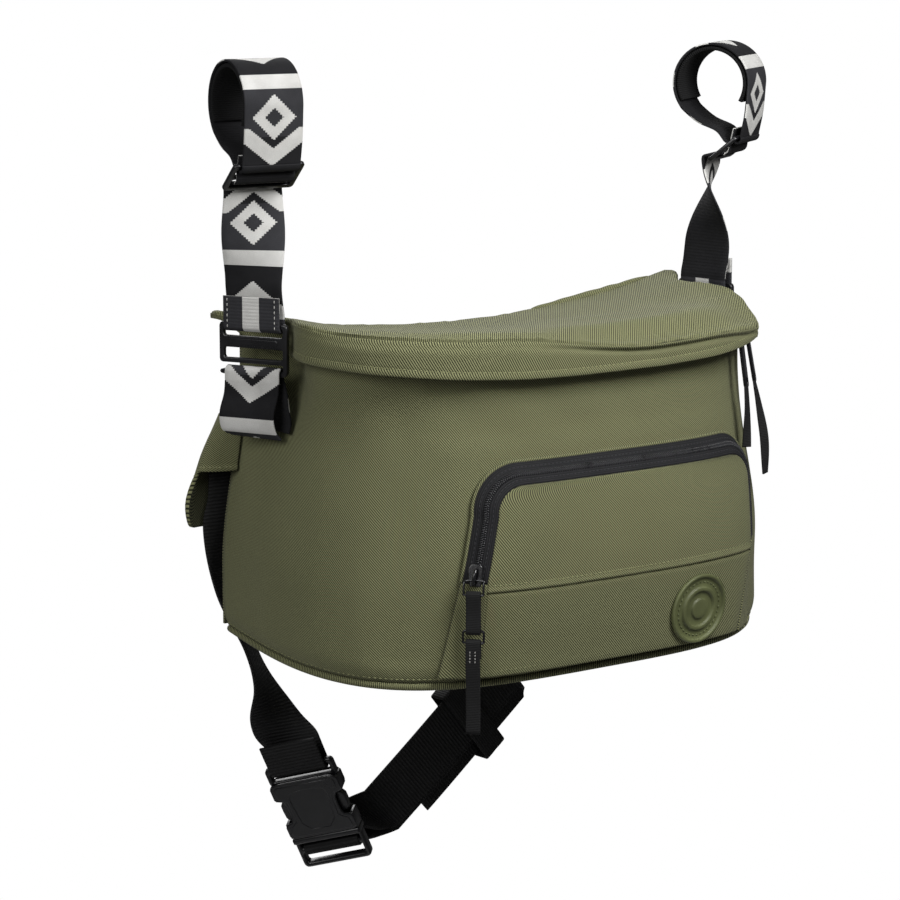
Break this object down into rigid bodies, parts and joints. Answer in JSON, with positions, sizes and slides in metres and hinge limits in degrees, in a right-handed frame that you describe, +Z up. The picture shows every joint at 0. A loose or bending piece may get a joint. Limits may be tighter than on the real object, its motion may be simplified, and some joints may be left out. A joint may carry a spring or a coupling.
{
  "type": "stroller organizer",
  "caption": "Crescent cloth organizer bag hung from two webbing loops, with a lid, a zipped front pocket and a buckled waist belt below.",
  "frame": {"origin": "midway between the centres of the two strap loops, on the line through them", "axes": "+X to the right as seen from the front, -Y towards the front, +Z up"},
  "size_m": [0.4005, 0.2051, 0.5116],
  "materials": {
    "olive_cloth": "olive twill",
    "zip_tape": "woven tape with a plastic coil",
    "zip_metal": "glossy black paint",
    "pull_webbing": "narrow black webbing",
    "badge_rubber": "moulded olive rubber",
    "patterned_webbing": "black, charcoal and off-white jacquard webbing",
    "loop_lining": "black hook-and-loop tape",
    "buckle_plastic": "satin black",
    "belt_webbing": "black ribbed webbing",
    "keeper_elastic": "black elastic tape"
  },
  "bodies": {
    "bag": {"front_panel": "olive_cloth", "back_panel": "olive_cloth", "bottom_panel": "olive_cloth", "lid_panel": "olive_cloth", "main_zip": "zip_tape", "main_slider_front": "zip_metal", "main_slider_back": "zip_metal", "pocket_zip": "zip_tape", "pocket_gusset_left": "olive_cloth", "pocket_gusset_right": "olive_cloth", "pocket_panel_upper": "olive_cloth", "pocket_panel_lower": "olive_cloth", "badge_patch": "badge_rubber", "wing_left": "olive_cloth", "wing_right": "olive_cloth", "strap_web_left": "patterned_webbing", "strap_web_right": "patterned_webbing", "loop_lining_left": "loop_lining", "loop_lining_right": "loop_lining", "tri_glide_left": "buckle_plastic", "tri_glide_right": "buckle_plastic", "gate_hook_left": "buckle_plastic", "gate_hook_right": "buckle_plastic", "anchor_loop_left": "patterned_webbing", "anchor_loop_right": "patterned_webbing", "belt_web_left": "belt_webbing", "belt_web_right": "belt_webbing", "buckle_socket": "buckle_plastic", "buckle_plug": "buckle_plastic", "belt_keeper": "keeper_elastic"},
    "front_pull": {"main_puller_front": "zip_metal", "main_tail_front": "pull_webbing"},
    "back_pull": {"main_puller_back": "zip_metal", "main_tail_back": "pull_webbing"},
    "pocket_runner": {"pocket_slider": "zip_metal"},
    "pocket_pull": {"pocket_bail": "zip_metal", "pocket_pull_loop": "pull_webbing"},
    "pocket_tag": {"pocket_ring": "zip_metal", "pocket_tab": "pull_webbing"}
  },
  "joints": [
    {"name": "pocket_slider_travel", "type": "slide", "parent": "bag", "child": "pocket_runner", "axis": [0.23, 0.0338, 0.9726], "range_m": [0, 0.01]},
    {"name": "pocket_pull_swing", "type": "hinge", "parent": "pocket_runner", "child": "pocket_pull", "pos_m": [-0.09898, -0.11893, -0.26812], "axis": [-0.6933, 0.7206, 0], "range_deg": [0, 100]},
    {"name": "pocket_tag_swing", "type": "hinge", "parent": "pocket_pull", "child": "pocket_tag", "pos_m": [-0.10056, -0.12046, -0.29712], "axis": [-0.6933, 0.7206, 0], "range_deg": [0, 110]},
    {"name": "front_pull_swing", "type": "hinge", "parent": "bag", "child": "front_pull", "pos_m": [0.11722, -0.09484, -0.13874], "axis": [-0.8485, -0.5292, -0.0042], "range_deg": [0, 2.5]},
    {"name": "back_pull_swing", "type": "hinge", "parent": "bag", "child": "back_pull", "pos_m": [0.13043, -0.08517, -0.13867], "axis": [-0.7322, -0.681, -0.0061], "range_deg": [0, 4]}
  ]
}
